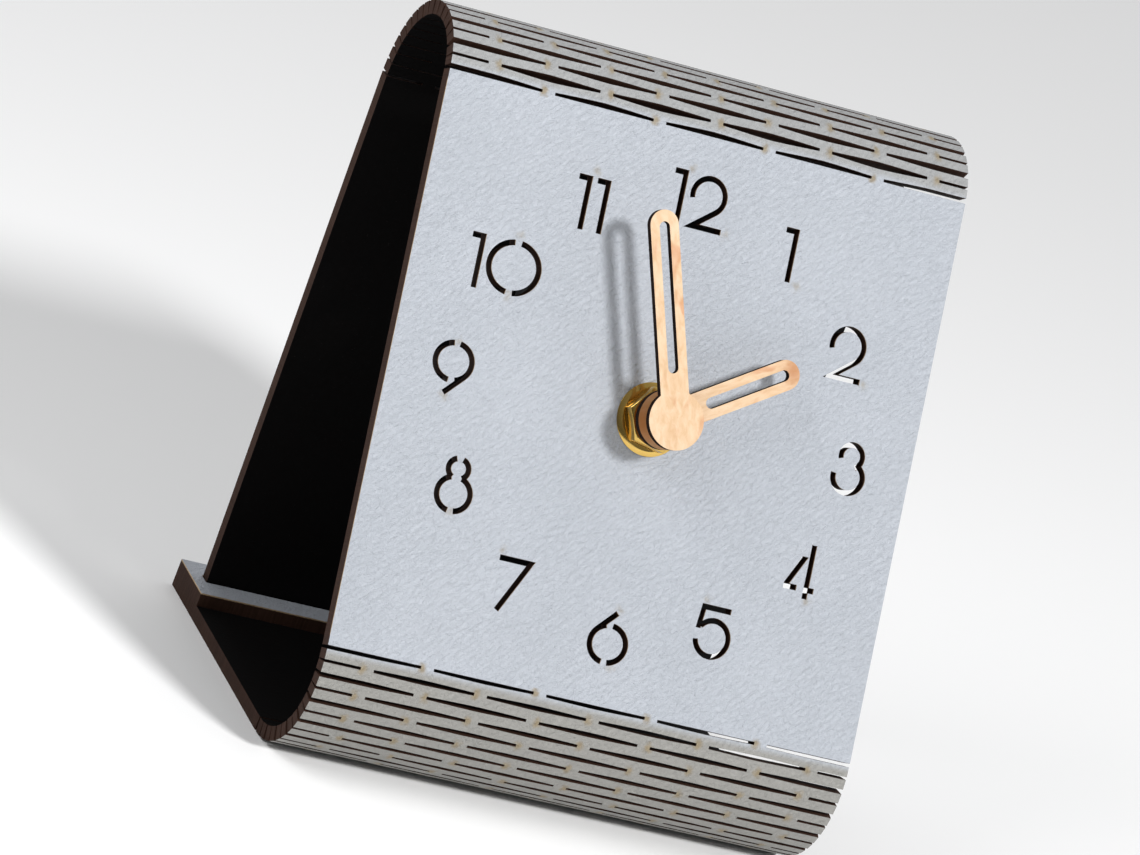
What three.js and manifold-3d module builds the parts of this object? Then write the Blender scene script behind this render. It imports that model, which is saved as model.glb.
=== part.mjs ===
// Table clock folded from one laser-cut board. The flat dial runs over slit
// bends into a base and an upright back panel, whose foot stands in a slotted
// bar. A quartz movement behind the dial turns two slotted wooden hands.
// Millimetres, +Z up, the clock faces -Y, X runs along the width.

import * as THREE from 'three';
import { mergeVertices } from 'three/addons/utils/BufferGeometryUtils.js';
import Module from 'manifold-3d';

const wasm = await Module();
wasm.setup();

// Board
const WIDTH = 125;
const DIAL_HEIGHT = 125;
const BOARD = 3.2;
const LEAN = THREE.MathUtils.degToRad(24);
const GAP = 0.25;

// Slit bends: rows of staggered slits, one fold at every row
const ROW_PITCH = 3.05;
const BOTTOM_ROWS = 14;
const TOP_ROWS = 17;
const TOP_EASE = 1.2;
const SLIT_PERIOD = 26.6;
const BRIDGE = 3.0;
const SLIT_SHIFT = 0.7;
const KERF = 0.65;
const BOTTOM_SWING = 0.215;
const TOP_SWING = 0.52;

// Back panel and rear bar
const BAR_DEPTH = 17.6;
const FOOT_INSET = 3.3;
const FOOT_SLACK = 0.3;

// Dial
const NUMERAL_RING = 48;
const STROKE = 1.25;
const DIGIT_HEIGHT = 12;
const ARC_STEP = 30;
const SHAFT_HOLE_R = 5;
const SHAFT_X = -0.6;
const TIME_MINUTES = 117.2;

// Hands
const HAND_BOARD = 1.6;
const HAND_WIDTH = 6.6;
const HAND_SLOT = 2.4;
const HUB_R = 6.4;
const HOUR_LENGTH = 33.1;
const MINUTE_LENGTH = 44.8;
const HOUR_HAND_Z = 6.5;
const MINUTE_HAND_Z = 11.9;

// Movement: levels are heights over the dial's face
const CASE_SIZE = 56;
const CASE_WALL = 1.3;
const CASE_FRONT_Z = -4.7;
const CASE_SPLIT_Z = -14.3;
const CASE_BACK_Z = -20.7;
const BAY_TOP = -9.9;
const BATTERY_R = 7.1;
const BATTERY_LENGTH = 50;
const PLATE_Z = -14.7;
const PLATE_THICK = 0.6;
const PIPE_SIDES = 18;

// Wheel train: teeth of each wheel and of its mate, and the axes' distance
const THIRD_AT = polar(9.0, 150);
const MIDDLE_AT = polar(8.25, 40);
const ROTOR_AT = polar(7.48, 10).add(MIDDLE_AT);
const MOTION_AT = polar(7.2, 30);
const KNOB_AT = polar(8.1, -50).add(MOTION_AT);
const CENTRE = new THREE.Vector2(0, 0);
const TRAIN = {
  rotorPinion: { teeth: 6, mate: 45, distance: 7.48, at: ROTOR_AT },
  middleWheel: { teeth: 45, mate: 6, distance: 7.48, at: MIDDLE_AT },
  middlePinion: { teeth: 12, mate: 48, distance: 8.25, at: MIDDLE_AT },
  secondsWheel: { teeth: 48, mate: 12, distance: 8.25, at: CENTRE },
  secondsPinion: { teeth: 6, mate: 45, distance: 9.0, at: CENTRE },
  thirdWheel: { teeth: 45, mate: 6, distance: 9.0, at: THIRD_AT },
  thirdPinion: { teeth: 6, mate: 48, distance: 9.0, at: THIRD_AT },
  minuteWheel: { teeth: 48, mate: 6, distance: 9.0, at: CENTRE },
  cannonPinion: { teeth: 8, mate: 24, distance: 7.2, at: CENTRE },
  motionWheel: { teeth: 24, mate: 8, distance: 7.2, at: MOTION_AT },
  motionPinion: { teeth: 8, mate: 32, distance: 7.2, at: MOTION_AT },
  hourWheel: { teeth: 32, mate: 8, distance: 7.2, at: CENTRE },
  knobPinion: { teeth: 12, mate: 24, distance: 8.1, at: KNOB_AT },
};

function polar(radius, degrees) {
  const angle = THREE.MathUtils.degToRad(degrees);
  return new THREE.Vector2(radius * Math.cos(angle), radius * Math.sin(angle));
}

// Materials
function finish(color, roughness, metalness = 0) {
  return new THREE.MeshStandardMaterial({ color, roughness, metalness });
}
const paintedBoard = finish(0xc9ced6, 0.75);
const handWood = finish(0xf2cf9e, 0.6);
const brass = finish(0xc9992f, 0.25, 1);
const steel = finish(0xb9bcc0, 0.3, 1);
const blackPlastic = finish(0x17171a, 0.5);
const greyPlastic = finish(0xd8d6cf, 0.5);
const rubber = finish(0x202022, 0.85);
const circuitGreen = finish(0x1f5a3a, 0.5);
const copper = finish(0xb2602f, 0.35, 1);
const batterySleeve = finish(0x3a3f46, 0.4, 0.3);
const magnet = finish(0x4b4b50, 0.4, 0.8);

// Solids for cutting and joining
function solid(geometry) {
  const bare = geometry.clone();
  bare.deleteAttribute('normal');
  bare.deleteAttribute('uv');
  const merged = mergeVertices(bare, 1e-4);
  const index = Array.from(merged.index.array);
  const triVerts = [];
  for (let i = 0; i < index.length; i += 3) {
    const [a, b, c] = index.slice(i, i + 3);
    if (a !== b && b !== c && c !== a) triVerts.push(a, b, c);
  }
  return new wasm.Manifold(new wasm.Mesh({
    numProp: 3,
    vertProperties: new Float32Array(merged.attributes.position.array),
    triVerts: new Uint32Array(triVerts),
  }));
}

function geometryOf(body) {
  const mesh = body.getMesh();
  const geometry = new THREE.BufferGeometry();
  geometry.setAttribute('position', new THREE.BufferAttribute(mesh.vertProperties, 3));
  geometry.setIndex(new THREE.BufferAttribute(mesh.triVerts, 1));
  geometry.computeVertexNormals();
  return geometry;
}

function joined(geometries) {
  return geometries.map(solid).reduce((whole, piece) => whole.add(piece));
}

function cut(geometry, cutters) {
  return cutters.reduce((body, cutter) => body.subtract(solid(cutter)), solid(geometry));
}

// Plain shapes in a flat frame, pushed out along z
function prism(shape, low, high, curveSegments = 10) {
  const geometry = new THREE.ExtrudeGeometry(shape, {
    depth: high - low, bevelEnabled: false, curveSegments,
  });
  return geometry.translate(0, 0, low);
}

function disc(radius, low, high, at = CENTRE, sides = PIPE_SIDES) {
  const geometry = new THREE.CylinderGeometry(radius, radius, high - low, sides);
  return geometry.rotateX(Math.PI / 2).translate(at.x, at.y, (low + high) / 2);
}

function turned(profile, sides = PIPE_SIDES) {
  const points = profile.map(([r, z]) => new THREE.Vector2(r, z));
  return new THREE.LatheGeometry(points, sides).rotateX(Math.PI / 2);
}

function tube(innerR, outerR, low, high, sides = PIPE_SIDES) {
  return turned([[innerR, low], [outerR, low], [outerR, high], [innerR, high], [innerR, low]], sides);
}

function polygon(points) {
  return new THREE.Shape(points.map(([x, y]) => new THREE.Vector2(x, y)));
}

function rectangle(left, bottom, right, top) {
  return polygon([[left, bottom], [right, bottom], [right, top], [left, top]]);
}

function roundedRectangle(left, bottom, right, top, r) {
  const shape = new THREE.Shape();
  shape.absarc(right - r, top - r, r, 0, Math.PI / 2);
  shape.absarc(left + r, top - r, r, Math.PI / 2, Math.PI);
  shape.absarc(left + r, bottom + r, r, Math.PI, Math.PI * 1.5);
  shape.absarc(right - r, bottom + r, r, Math.PI * 1.5, Math.PI * 2);
  shape.closePath();
  return shape;
}

// Side profile of the board: the outer fold points from the base round to the
// back, with the turn at each fold. The turn at the top falls off evenly from
// front to back, so that the bend is tightest at the front.
function foldTurns(rows, total, ease) {
  const weights = Array.from({ length: rows + 1 }, (_, i) => 1 + ease * (1 - i / rows));
  weights[0] /= 2;
  weights[rows] /= 2;
  const sum = weights.reduce((a, b) => a + b);
  return weights.map((weight) => weight * total / sum);
}

function sideProfile() {
  const bottom = foldTurns(BOTTOM_ROWS, Math.PI / 2 + LEAN, 0);
  const top = foldTurns(TOP_ROWS, Math.PI - LEAN, TOP_EASE);
  const folds = [];
  let heading = 0;
  const point = new THREE.Vector2(0, 0);
  const along = () => new THREE.Vector2(-Math.cos(heading), Math.sin(heading));
  const fold = (turn, length) => {
    folds.push({ point: point.clone(), turn });
    heading += turn;
    point.addScaledVector(along(), length);
  };
  bottom.forEach((turn, i) => fold(turn, i < BOTTOM_ROWS ? ROW_PITCH : DIAL_HEIGHT));
  top.forEach((turn, i) => fold(turn, i < TOP_ROWS ? ROW_PITCH : 0));
  return folds;
}

const FOLDS = sideProfile();
const BACK_Y = FOLDS[FOLDS.length - 1].point.x;
const FRONT_Y = Math.min(...FOLDS.map((fold) => fold.point.x));
const BAR_MIDDLE_Y = BACK_Y - BOARD / 2;
const BASE_END_Y = BAR_MIDDLE_Y + BAR_DEPTH / 2;
const MIDDLE_Y = (FRONT_Y + BASE_END_Y) / 2;

// One row's bridges. Open rows have their outermost slits run out wide at the
// sides, closed rows have a bridge close to each side.
function bridgeCentres(open) {
  const middle = WIDTH / 2 + SLIT_SHIFT;
  const first = open ? SLIT_PERIOD / 2 : 0;
  const centres = open ? [] : [middle];
  for (let x = first || SLIT_PERIOD; x < middle; x += SLIT_PERIOD) {
    centres.push(middle - x, middle + x);
  }
  return centres.sort((a, b) => a - b);
}

// One edge of a flat strip along a row: points across the width, each with
// its setback from the fold. Bridges reach the fold itself; a slat's edge
// swings back from it halfway between two bridges, so that each slit opens
// as a long lens and the slat keeps its width.
function rowEdge(open, swing) {
  const low = KERF / 2;
  const high = low + swing;
  const centres = bridgeCentres(open);
  const points = [];
  const add = (x, setback, onFold = false) => points.push({ x, setback, onFold });
  const swingPoint = (x) => {
    if (swing > 0) add(x, high);
  };
  add(0, open ? high : low);
  if (open) swingPoint(centres[0] - SLIT_PERIOD / 2);
  centres.forEach((centre, i) => {
    if (i > 0) swingPoint(centre - SLIT_PERIOD / 2);
    add(centre - BRIDGE / 2, low);
    add(centre - BRIDGE / 2, 0, true);
    add(centre + BRIDGE / 2, 0, true);
    add(centre + BRIDGE / 2, low);
  });
  if (open) swingPoint(centres[centres.length - 1] + SLIT_PERIOD / 2);
  add(WIDTH, open ? high : low);
  return points;
}

// The flat stretches of the board between two folds. A panel's edges stay
// straight. In the top bend the slits open less and less towards the back.
function strips() {
  const last = BOTTOM_ROWS + TOP_ROWS + 1;
  const list = [];
  const rowIsOpen = (i) => (i <= BOTTOM_ROWS ? BOTTOM_ROWS - i : i - BOTTOM_ROWS - 1) % 2 === 0;
  const isPanel = (i) => i === -1 || i === BOTTOM_ROWS || i === last;
  const topSwing = (i) => TOP_SWING * ((last - i) / TOP_ROWS) ** 3;
  const swingAt = (i) => (i <= BOTTOM_ROWS ? BOTTOM_SWING : topSwing(i));
  for (let i = -1; i <= last; i += 1) {
    const swing = isPanel(i) ? 0 : swingAt(i);
    const start = i < 0 ? null : { ...FOLDS[i], edge: rowEdge(rowIsOpen(i), swing) };
    const end = i === last ? null : { ...FOLDS[i + 1], edge: rowEdge(rowIsOpen(i + 1), swing) };
    list.push({ start, end });
  }
  return list;
}

// Corner points of a strip, outside and inside, in order round its outline
function stripOutline({ start, end }) {
  const from = start ? start.point : new THREE.Vector2(BASE_END_Y, 0);
  const footDrop = FOLDS[FOLDS.length - 1].point.y - BOARD - GAP;
  const to = end ? end.point : from.clone().add(new THREE.Vector2(0, -footDrop));
  const along = to.clone().sub(from).normalize();
  const inward = new THREE.Vector2(along.y, -along.x);
  const length = to.distanceTo(from);
  const corners = [];
  const add = (x, t, innerT, onFold) => {
    const place = (s, depth) => from.clone().addScaledVector(along, s).addScaledVector(inward, depth);
    const outer = place(t, 0);
    const inner = place(innerT, BOARD);
    corners.push({ x, t, innerT, outer, inner, onFold });
  };
  const mitre = (fold) => BOARD * Math.tan(fold.turn / 2);
  const insideSetback = (point, fold) => (point.onFold ? mitre(fold) : Math.max(point.setback, mitre(fold) + 0.06));
  if (start) {
    start.edge.forEach((p) => add(p.x, p.setback, insideSetback(p, start), p.onFold));
  } else {
    [0, WIDTH].forEach((x) => add(x, 0, 0, false));
  }
  if (end) {
    [...end.edge].reverse().forEach((p) => {
      add(p.x, length - p.setback, length - insideSetback(p, end), p.onFold);
    });
  } else {
    [WIDTH - FOOT_INSET, FOOT_INSET].forEach((x) => add(x, length, length, false));
  }
  return corners;
}

// The bent board as one closed skin: outer and inner face of each strip, and
// a wall along every edge that isn't a bridge to the next strip
function bentBoard() {
  const positions = [];
  const push = (corner, side) => {
    const p = corner[side];
    positions.push(corner.x - WIDTH / 2, p.x - MIDDLE_Y, p.y);
  };
  strips().map(stripOutline).forEach((corners) => {
    const outerFlat = corners.map((c) => new THREE.Vector2(c.x, c.t));
    const innerFlat = corners.map((c) => new THREE.Vector2(c.x, c.innerT));
    THREE.ShapeUtils.triangulateShape(outerFlat, []).forEach(([a, b, c]) => {
      [a, b, c].forEach((i) => push(corners[i], 'outer'));
    });
    THREE.ShapeUtils.triangulateShape(innerFlat, []).forEach(([a, b, c]) => {
      [a, c, b].forEach((i) => push(corners[i], 'inner'));
    });
    corners.forEach((corner, i) => {
      const next = corners[(i + 1) % corners.length];
      if (corner.onFold && next.onFold) return;
      push(corner, 'outer');
      push(corner, 'inner');
      push(next, 'inner');
      push(corner, 'outer');
      push(next, 'inner');
      push(next, 'outer');
    });
  });
  const geometry = new THREE.BufferGeometry();
  geometry.setAttribute('position', new THREE.Float32BufferAttribute(positions, 3));
  return geometry;
}

// The dial's own frame: x right, y up the dial, z out of its face
const dialFoot = FOLDS[BOTTOM_ROWS].point;
const dial = new THREE.Group();
dial.rotation.x = Math.PI / 2 - LEAN;
dial.position.set(
  0,
  dialFoot.x + Math.sin(LEAN) * DIAL_HEIGHT / 2 - MIDDLE_Y,
  dialFoot.y + Math.cos(LEAN) * DIAL_HEIGHT / 2,
);
dial.updateMatrixWorld(true);

// Strokes of the stencil digits, y up, each digit 12 high about its middle
function bar(x1, y1, x2, y2) {
  const along = new THREE.Vector2(x2 - x1, y2 - y1).setLength(STROKE / 2);
  return polygon([
    [x1 + along.y, y1 - along.x], [x2 + along.y, y2 - along.x],
    [x2 - along.y, y2 + along.x], [x1 - along.y, y1 + along.x],
  ]);
}

function bow(x, y, radius, from, to, widen = 1) {
  const steps = Math.ceil((to - from) / ARC_STEP);
  const arc = (r) => Array.from({ length: steps + 1 }, (_, i) => {
    const point = polar(r, from + (to - from) * i / steps);
    return [x + point.x * widen, y + point.y];
  });
  return polygon([...arc(radius + STROKE / 2), ...arc(radius - STROKE / 2).reverse()]);
}

const TOP = DIGIT_HEIGHT / 2;
const UNDER_TOP = TOP - STROKE;
const six = [
  bow(0.4, -0.82, 4.0, -82, 84, 1.06),
  bow(0.4, -0.82, 4.0, 104, 260, 1.06),
  bar(-2.65, 2.0, 1.35, 6.05),
];
const DIGITS = {
  0: [bow(0, 0.4, 5.4, -83, 83, 1.08), bow(0, 0.4, 5.4, 98, 262, 1.08)],
  1: [polygon([[-1.6, TOP], [1.6, TOP], [1.6, -5.7], [0.35, -5.7], [0.35, UNDER_TOP], [-1.6, UNDER_TOP]])],
  2: [
    bow(0.1, 1.55, 3.85, -52.2, 195),
    bar(2.46, -1.49, -2.45, -5.3),
    polygon([[-4.41, -TOP], [4.5, -TOP], [4.5, -UNDER_TOP], [-2.75, -UNDER_TOP]]),
  ],
  3: [bow(0.05, 2.6, 2.58, -62, 198), bow(0.05, -2.0, 3.35, 172, 428, 1.06)],
  4: [
    rectangle(1.5, -5.8, 1.5 + STROKE, TOP),
    polygon([[-0.2, 3.2], [1.3, 3.2], [-2.0, -3.15], [-0.2, -3.15], [-0.2, -4.4], [-3.4, -4.4], [-3.4, -3.15]]),
    rectangle(1.7, -4.4, 4.0, -3.15),
  ],
  5: [
    rectangle(-3.6, UNDER_TOP, 3.45, TOP),
    polygon([[-3.6, TOP], [-2.35, TOP], [-2.95, 0.6], [-4.15, 0.6]]),
    bow(0.15, -1.1, 3.88, 190, 505),
  ],
  6: six,
  7: [polygon([[-4.2, 6.2], [4.25, 6.2], [3.5, 4.95], [-4.2, 4.95]]), bar(3.1, 5.4, -2.6, -5.5)],
  8: [
    bow(-0.1, 4.15, 2.2, -60, 72, 1.06), bow(-0.1, -1.25, 3.68, -80, 72, 1.05),
    bow(-0.1, 4.15, 2.2, 108, 240, 1.06), bow(-0.1, -1.25, 3.68, 108, 260, 1.05),
  ],
  9: six.map((shape) => polygon(shape.getPoints().map(({ x, y }) => [0.55 - x, 1.2 - y]))),
};

// Digit, its hour and its sideways place within the numeral
const NUMERALS = [
  [1, '1', -0.6], [2, '2', 0.15], [3, '3', 0], [4, '4', 0], [5, '5', 0], [6, '6', 0],
  [7, '7', 0], [8, '8', 0], [9, '9', 0], [10, '1', -6.4], [10, '0', 2.8],
  [11, '1', -2.7], [11, '1', 1.7], [12, '1', -5.05], [12, '2', 2.15],
];

function numeralCutters() {
  return NUMERALS.flatMap(([hour, digit, shift]) => {
    const centre = polar(NUMERAL_RING, 90 - 30 * hour);
    return DIGITS[digit].map((shape) => prism(shape, -BOARD - 1, 1)
      .translate(centre.x + shift, centre.y, 0).applyMatrix4(dial.matrixWorld));
  });
}

function bentSheet() {
  const hole = disc(SHAFT_HOLE_R, -BOARD - 1, 1, CENTRE, 24).applyMatrix4(dial.matrixWorld);
  return geometryOf(cut(bentBoard(), [...numeralCutters(), hole]));
}

function rearBar() {
  const outline = rectangle(-WIDTH / 2, BASE_END_Y - BAR_DEPTH - MIDDLE_Y, WIDTH / 2, BASE_END_Y - MIDDLE_Y);
  const halfSlot = WIDTH / 2 - FOOT_INSET + FOOT_SLACK;
  const slotFront = BACK_Y - BOARD - FOOT_SLACK - MIDDLE_Y;
  const slotBack = BACK_Y + FOOT_SLACK - MIDDLE_Y;
  outline.holes.push(rectangle(-halfSlot, slotFront, halfSlot, slotBack));
  return prism(outline, BOARD, 2 * BOARD);
}

// Wooden hand: round hub, straight bar with a round tip and a long slot
function handShape(length, shaftHoleR) {
  const half = HAND_WIDTH / 2;
  const shoulder = Math.asin(half / HUB_R);
  const shape = new THREE.Shape();
  shape.absarc(0, 0, HUB_R, Math.PI / 2 + shoulder, Math.PI * 2.5 - shoulder, false);
  shape.absarc(0, length - half, half, 0, Math.PI, false);
  shape.closePath();
  const slot = new THREE.Path();
  const slotR = HAND_SLOT / 2;
  slot.absarc(0, length - 2.5 - slotR, slotR, 0, Math.PI, false);
  slot.absarc(0, 10 + slotR, slotR, Math.PI, Math.PI * 2, false);
  slot.closePath();
  shape.holes.push(slot);
  if (shaftHoleR > 0) shape.holes.push(new THREE.Path().absarc(0, 0, shaftHoleR, 0, Math.PI * 2));
  return shape;
}

function hexagonNut() {
  const acrossFlats = 12.4;
  const low = 1.1;
  const high = 5.1;
  const chamfer = 0.5;
  const inscribed = acrossFlats / 2;
  const corner = inscribed / Math.cos(Math.PI / 6);
  const prismBody = solid(disc(corner, low, high, CENTRE, 6).rotateZ(Math.PI / 6));
  const rounding = turned([
    [0, low], [inscribed, low], [corner + 0.05, low + chamfer],
    [corner + 0.05, high - chamfer], [inscribed, high], [0, high],
  ], 24);
  const bore = disc(4.15, low - 1, high + 1);
  return geometryOf(prismBody.intersect(solid(rounding)).subtract(solid(bore)));
}

// Toothed outline with plain pointed teeth
function gearShape({ teeth, mate, distance }, phase) {
  const module = 2 * distance / (teeth + mate);
  const pitchR = module * teeth / 2;
  const shape = new THREE.Shape();
  for (let i = 0; i < 2 * teeth; i += 1) {
    const radius = i % 2 === 0 ? pitchR + 0.75 * module : pitchR - 1.25 * module;
    const angle = phase + i * Math.PI / teeth;
    const point = [radius * Math.cos(angle), radius * Math.sin(angle)];
    if (i === 0) shape.moveTo(...point);
    else shape.lineTo(...point);
  }
  shape.closePath();
  return shape;
}

// Turn of gear b that puts a gap of it opposite a tooth of gear a
function meshPhase(a, phaseA, b) {
  const toB = Math.atan2(b.at.y - a.at.y, b.at.x - a.at.x);
  const fraction = (toB - phaseA) / (2 * Math.PI / a.teeth);
  return toB + Math.PI - (0.5 - fraction) * (2 * Math.PI / b.teeth);
}

function gear(wheel, phase, low, high) {
  return prism(gearShape(wheel, phase), low, high).translate(wheel.at.x, wheel.at.y, 0);
}

const PHASE = {
  middleWheel: meshPhase(TRAIN.rotorPinion, 0, TRAIN.middleWheel),
  secondsWheel: meshPhase(TRAIN.middlePinion, 0, TRAIN.secondsWheel),
  thirdWheel: meshPhase(TRAIN.secondsPinion, 0, TRAIN.thirdWheel),
  minuteWheel: meshPhase(TRAIN.thirdPinion, 0, TRAIN.minuteWheel),
  motionWheel: meshPhase(TRAIN.cannonPinion, 0, TRAIN.motionWheel),
  hourWheel: meshPhase(TRAIN.motionPinion, 0, TRAIN.hourWheel),
};
PHASE.knobPinion = meshPhase(TRAIN.motionWheel, PHASE.motionWheel, TRAIN.knobPinion);

function rotor() {
  return geometryOf(joined([
    gear(TRAIN.rotorPinion, 0, -18.2, -17.2),
    disc(2.4, -17.3, -15.2, ROTOR_AT, 16),
    disc(0.4, -18.9, -14.4, ROTOR_AT, 8),
  ]));
}

function intermediateWheel() {
  return geometryOf(joined([
    gear(TRAIN.middleWheel, PHASE.middleWheel, -18.2, -17.5),
    gear(TRAIN.middlePinion, 0, -17.6, -16.3),
    disc(0.4, -18.9, -14.4, MIDDLE_AT, 8),
  ]));
}

function secondsWheel() {
  return geometryOf(joined([
    gear(TRAIN.secondsWheel, PHASE.secondsWheel, -17.1, -16.4),
    gear(TRAIN.secondsPinion, 0, -16.5, -15.1),
    disc(0.45, -18.9, -9, CENTRE, 8),
  ]));
}

function thirdWheel() {
  return geometryOf(joined([
    gear(TRAIN.thirdWheel, PHASE.thirdWheel, -15.9, -15.2),
    gear(TRAIN.thirdPinion, 0, -15.3, -12.6),
    disc(0.4, -18.9, -7.4, THIRD_AT, 8),
  ]));
}

// The minute wheel slips on the cannon pinion's boss when the hands are set
function minuteWheel() {
  const wheel = gear(TRAIN.minuteWheel, PHASE.minuteWheel, -13.4, -12.7);
  return geometryOf(cut(wheel, [disc(2.0, -14, -12)]));
}

function cannonPinion() {
  const pipe = joined([
    disc(2.6, -13.9, -13.55),
    disc(1.9, -13.6, -12.5),
    gear(TRAIN.cannonPinion, 0, -12.55, -11.2),
    disc(1.55, -11.3, 11.0),
  ]);
  return geometryOf(pipe.subtract(solid(disc(0.8, -14, 12, CENTRE, 12))));
}

function motionWheel() {
  const wheel = joined([
    gear(TRAIN.motionWheel, PHASE.motionWheel, -12.2, -11.2),
    gear(TRAIN.motionPinion, 0, -11.3, -8.2),
  ]);
  return geometryOf(wheel.subtract(solid(disc(0.62, -13, -8, MOTION_AT, 10))));
}

function hourWheel() {
  const wheel = joined([
    gear(TRAIN.hourWheel, PHASE.hourWheel, -9.3, -8.2),
    disc(2.45, -8.3, 8.6),
  ]);
  return geometryOf(wheel.subtract(solid(disc(1.85, -10, 9))));
}

function settingKnob() {
  return geometryOf(joined([
    gear(TRAIN.knobPinion, PHASE.knobPinion, -12.3, -11.1),
    disc(1.0, -22.2, -12.2, KNOB_AT, 12),
    disc(4.6, -24.2, -21.2, KNOB_AT, 18),
  ]));
}

// Case halves. Each is a tray with a partition above the battery bay.
const HALF = CASE_SIZE / 2;
const INSIDE = HALF - CASE_WALL;
const POSTS = [[-24, 24], [24, 24], [-24, -7.6], [24, -7.6]];

function frontCase() {
  const tray = prism(roundedRectangle(-HALF, -HALF, HALF, HALF, 3), CASE_SPLIT_Z + GAP, CASE_FRONT_Z, 3);
  const low = CASE_SPLIT_Z - 1;
  const high = CASE_FRONT_Z - CASE_WALL;
  const hollow = cut(tray, [
    prism(rectangle(-INSIDE, BAY_TOP + CASE_WALL, INSIDE, INSIDE), low, high),
    prism(rectangle(-INSIDE, -INSIDE, INSIDE, BAY_TOP), low, high + 0.8),
    disc(4.1, high - 1, CASE_FRONT_Z + 1),
  ]);
  const posts = POSTS.map(([x, y]) => disc(1.4, PLATE_Z + PLATE_THICK + GAP, high + 0.1, new THREE.Vector2(x, y), 8));
  const motionPost = disc(0.45, -12.5, high + 0.1, MOTION_AT, 8);
  return geometryOf([...posts, motionPost].reduce((body, post) => body.add(solid(post)), hollow));
}

function rearCase() {
  const tray = prism(roundedRectangle(-HALF, -HALF, HALF, HALF, 3), CASE_BACK_Z, CASE_SPLIT_Z, 3);
  const hollow = cut(tray, [
    prism(rectangle(-INSIDE, BAY_TOP + CASE_WALL, INSIDE, INSIDE), CASE_BACK_Z + CASE_WALL, CASE_SPLIT_Z + 1),
    prism(rectangle(-INSIDE, -INSIDE, INSIDE, BAY_TOP), CASE_BACK_Z - 1, CASE_SPLIT_Z + 1),
    disc(1.4, CASE_BACK_Z - 1, CASE_SPLIT_Z, KNOB_AT, 12),
  ]);
  const cups = [CENTRE, MIDDLE_AT, THIRD_AT, ROTOR_AT].map((at) => (
    turnedCup(at, CASE_BACK_Z + CASE_WALL - 0.1, -18.6)
  ));
  return geometryOf(cups.reduce((body, cup) => body.add(cup), hollow));
}

// Pivot cup for a wheel's rear end
function turnedCup(at, low, high) {
  const hole = disc(0.65, low + 0.3, high + 1, at, 6);
  return solid(disc(1.3, low, high, at, 6)).subtract(solid(hole));
}

function gearPlate() {
  const inset = INSIDE - 0.4;
  const outline = rectangle(-inset, BAY_TOP + CASE_WALL + 0.4, inset, inset);
  const holeAt = (at, r) => new THREE.Path().absarc(at.x, at.y, r, 0, Math.PI * 2);
  outline.holes.push(holeAt(CENTRE, 0.8), holeAt(MIDDLE_AT, 0.7), holeAt(ROTOR_AT, 0.7));
  outline.holes.push(holeAt(THIRD_AT, 1.7), holeAt(KNOB_AT, 1.4));
  return prism(outline, PLATE_Z, PLATE_Z + PLATE_THICK, 5);
}

function motorStator() {
  const outline = polygon([
    [10, 0.5], [18, 0.5], [23.6, 8], [23.6, 23], [20.6, 23], [20.6, 13],
    [9.5, 13], [9.5, 23], [6.5, 23], [6.5, 14.5], [8.5, 11],
  ]);
  outline.holes.push(new THREE.Path().absarc(ROTOR_AT.x, ROTOR_AT.y, 3.0, 0, Math.PI * 2));
  return prism(outline, -16.8, -16.0, 8);
}

function motorCoil() {
  const coil = turned([
    [0, -5.2], [2.1, -5.2], [2.1, -4.5], [1.8, -4.5], [1.8, 4.5], [2.1, 4.5], [2.1, 5.2], [0, 5.2],
  ], 10);
  return coil.rotateY(Math.PI / 2).translate(15.05, 18, -17.1);
}

function circuitBoard() {
  return prism(rectangle(-25.6, 13.8, -2, 25.6), -16.4, -15.6);
}

function quartzCrystal() {
  return turned([[0, -3], [1, -3], [1, 2.7], [0.75, 3], [0, 3]], 8).rotateY(Math.PI / 2).translate(-14, 20, -17.7);
}

// Battery and its spring contacts, lying across the bay
const BATTERY_Y = (-INSIDE + BAY_TOP) / 2;
const BATTERY_Z = -13.2;

function battery() {
  const end = BATTERY_LENGTH / 2;
  const cell = turned([
    [0, -end], [BATTERY_R - 0.6, -end], [BATTERY_R, -end + 0.6], [BATTERY_R, end - 1.9],
    [BATTERY_R - 0.6, end - 1.4], [2.75, end - 1.4], [2.75, end], [0, end],
  ]);
  return cell.rotateY(Math.PI / 2).translate(0, BATTERY_Y, BATTERY_Z);
}

function contactPlate(side) {
  const plate = new THREE.BoxGeometry(0.4, 11, 9);
  return plate.translate(side * (INSIDE - 0.4), BATTERY_Y, BATTERY_Z);
}

// Assembly
const clock = new THREE.Group();
clock.add(dial);

function part(name, geometry, material, parent = dial) {
  const mesh = new THREE.Mesh(geometry, material);
  mesh.name = name;
  parent.add(mesh);
  return mesh;
}

part('bent_sheet', bentSheet(), paintedBoard, clock);
part('rear_bar', rearBar(), paintedBoard, clock);

// Everything on the shaft shares one axis, a little left of the dial's middle
const shaft = new THREE.Group();
shaft.position.x = SHAFT_X;
dial.add(shaft);

const hourAngle = TIME_MINUTES / 720 * Math.PI * 2;
const minuteAngle = TIME_MINUTES / 60 * Math.PI * 2;

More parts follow.
